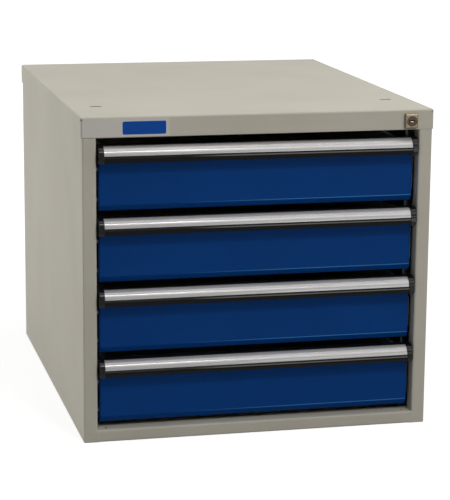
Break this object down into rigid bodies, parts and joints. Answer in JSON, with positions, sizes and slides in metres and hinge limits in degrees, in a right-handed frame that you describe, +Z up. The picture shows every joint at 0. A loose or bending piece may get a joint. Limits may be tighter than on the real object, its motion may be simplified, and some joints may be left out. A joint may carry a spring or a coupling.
{
  "type": "drawer cabinet",
  "caption": "Low steel drawer cabinet with a folded grey carcass, blue fronts with full-width label grips on telescopic runners, and a central lock.",
  "frame": {"origin": "the middle of the underside, on the floor", "axes": "+X to the cabinet's right seen from its front, +Y to its back, +Z up; the drawers open along -Y"},
  "size_m": [0.5, 0.6295, 0.457],
  "materials": {
    "carcass_paint": "fine-textured light grey powder coat",
    "front_paint": "smooth gentian blue powder coat",
    "tray_paint": "light grey powder coat",
    "zinc_steel": "bright zinc plate",
    "grip_black": "extruded black, semi-gloss",
    "cap_black": "moulded black, glossy",
    "label_silver": "satin silver-grey insert",
    "clear_strip": "clear extruded strip",
    "lock_plating": "nickel plate",
    "lock_plug": "turned, dull plate"
  },
  "bodies": {
    "cabinet": {"cover": "carcass_paint", "left_side": "carcass_paint", "right_side": "carcass_paint", "base_pan": "carcass_paint", "back_panel": "carcass_paint", "top_rail": "carcass_paint", "left_front_post": "zinc_steel", "left_rear_post": "zinc_steel", "right_front_post": "zinc_steel", "right_rear_post": "zinc_steel", "fixed_runners_1": "zinc_steel", "fixed_runners_2": "zinc_steel", "fixed_runners_3": "zinc_steel", "fixed_runners_4": "zinc_steel", "lock_housing": "lock_plating", "lock_nut": "zinc_steel", "bar_guides": "zinc_steel", "cover_screws": "zinc_steel", "back_rivets": "zinc_steel"},
    "lock": {"lock_cylinder": "lock_plug", "lock_cam": "zinc_steel"},
    "lock_bar": {"lock_bar": "zinc_steel"},
    "drawer_1": {"drawer_tray_1": "tray_paint", "drawer_front_1": "front_paint", "grip_1": "grip_black", "label_strip_1": "label_silver", "label_cover_1": "clear_strip", "grip_cap_left_1": "cap_black", "grip_cap_right_1": "cap_black", "drawer_runners_1": "zinc_steel"},
    "runners_1": {"middle_runners_1": "zinc_steel"},
    "drawer_2": {"drawer_tray_2": "tray_paint", "drawer_front_2": "front_paint", "grip_2": "grip_black", "label_strip_2": "label_silver", "label_cover_2": "clear_strip", "grip_cap_left_2": "cap_black", "grip_cap_right_2": "cap_black", "drawer_runners_2": "zinc_steel"},
    "runners_2": {"middle_runners_2": "zinc_steel"},
    "drawer_3": {"drawer_tray_3": "tray_paint", "drawer_front_3": "front_paint", "grip_3": "grip_black", "label_strip_3": "label_silver", "label_cover_3": "clear_strip", "grip_cap_left_3": "cap_black", "grip_cap_right_3": "cap_black", "drawer_runners_3": "zinc_steel"},
    "runners_3": {"middle_runners_3": "zinc_steel"},
    "drawer_4": {"drawer_tray_4": "tray_paint", "drawer_front_4": "front_paint", "grip_4": "grip_black", "label_strip_4": "label_silver", "label_cover_4": "clear_strip", "grip_cap_left_4": "cap_black", "grip_cap_right_4": "cap_black", "drawer_runners_4": "zinc_steel"},
    "runners_4": {"middle_runners_4": "zinc_steel"}
  },
  "joints": [
    {"name": "lock_turn", "type": "hinge", "parent": "cabinet", "child": "lock", "pos_m": [0.216, -0.31, 0.441], "axis": [0, 1, 0], "range_deg": [0, 90]},
    {"name": "lock_bar_lift", "type": "slide", "parent": "cabinet", "child": "lock_bar", "axis": [0, 0, 1], "range_m": [0, 0.01414]},
    {"name": "drawer_slide_1", "type": "slide", "parent": "cabinet", "child": "drawer_1", "axis": [0, -1, 0], "range_m": [0, 0.52]},
    {"name": "runner_slide_1", "type": "slide", "parent": "cabinet", "child": "runners_1", "axis": [0, -1, 0], "range_m": [0, 0.26]},
    {"name": "drawer_slide_2", "type": "slide", "parent": "cabinet", "child": "drawer_2", "axis": [0, -1, 0], "range_m": [0, 0.52]},
    {"name": "runner_slide_2", "type": "slide", "parent": "cabinet", "child": "runners_2", "axis": [0, -1, 0], "range_m": [0, 0.26]},
    {"name": "drawer_slide_3", "type": "slide", "parent": "cabinet", "child": "drawer_3", "axis": [0, -1, 0], "range_m": [0, 0.52]},
    {"name": "runner_slide_3", "type": "slide", "parent": "cabinet", "child": "runners_3", "axis": [0, -1, 0], "range_m": [0, 0.26]},
    {"name": "drawer_slide_4", "type": "slide", "parent": "cabinet", "child": "drawer_4", "axis": [0, -1, 0], "range_m": [0, 0.52]},
    {"name": "runner_slide_4", "type": "slide", "parent": "cabinet", "child": "runners_4", "axis": [0, -1, 0], "range_m": [0, 0.26]}
  ],
  "couplings": [
    {"joint": "lock_turn", "follows": "lock_bar_lift", "rad_per_m": 111.07},
    {"joint": "runner_slide_1", "follows": "drawer_slide_1", "ratio": 0.5},
    {"joint": "runner_slide_2", "follows": "drawer_slide_2", "ratio": 0.5},
    {"joint": "runner_slide_3", "follows": "drawer_slide_3", "ratio": 0.5},
    {"joint": "runner_slide_4", "follows": "drawer_slide_4", "ratio": 0.5}
  ]
}
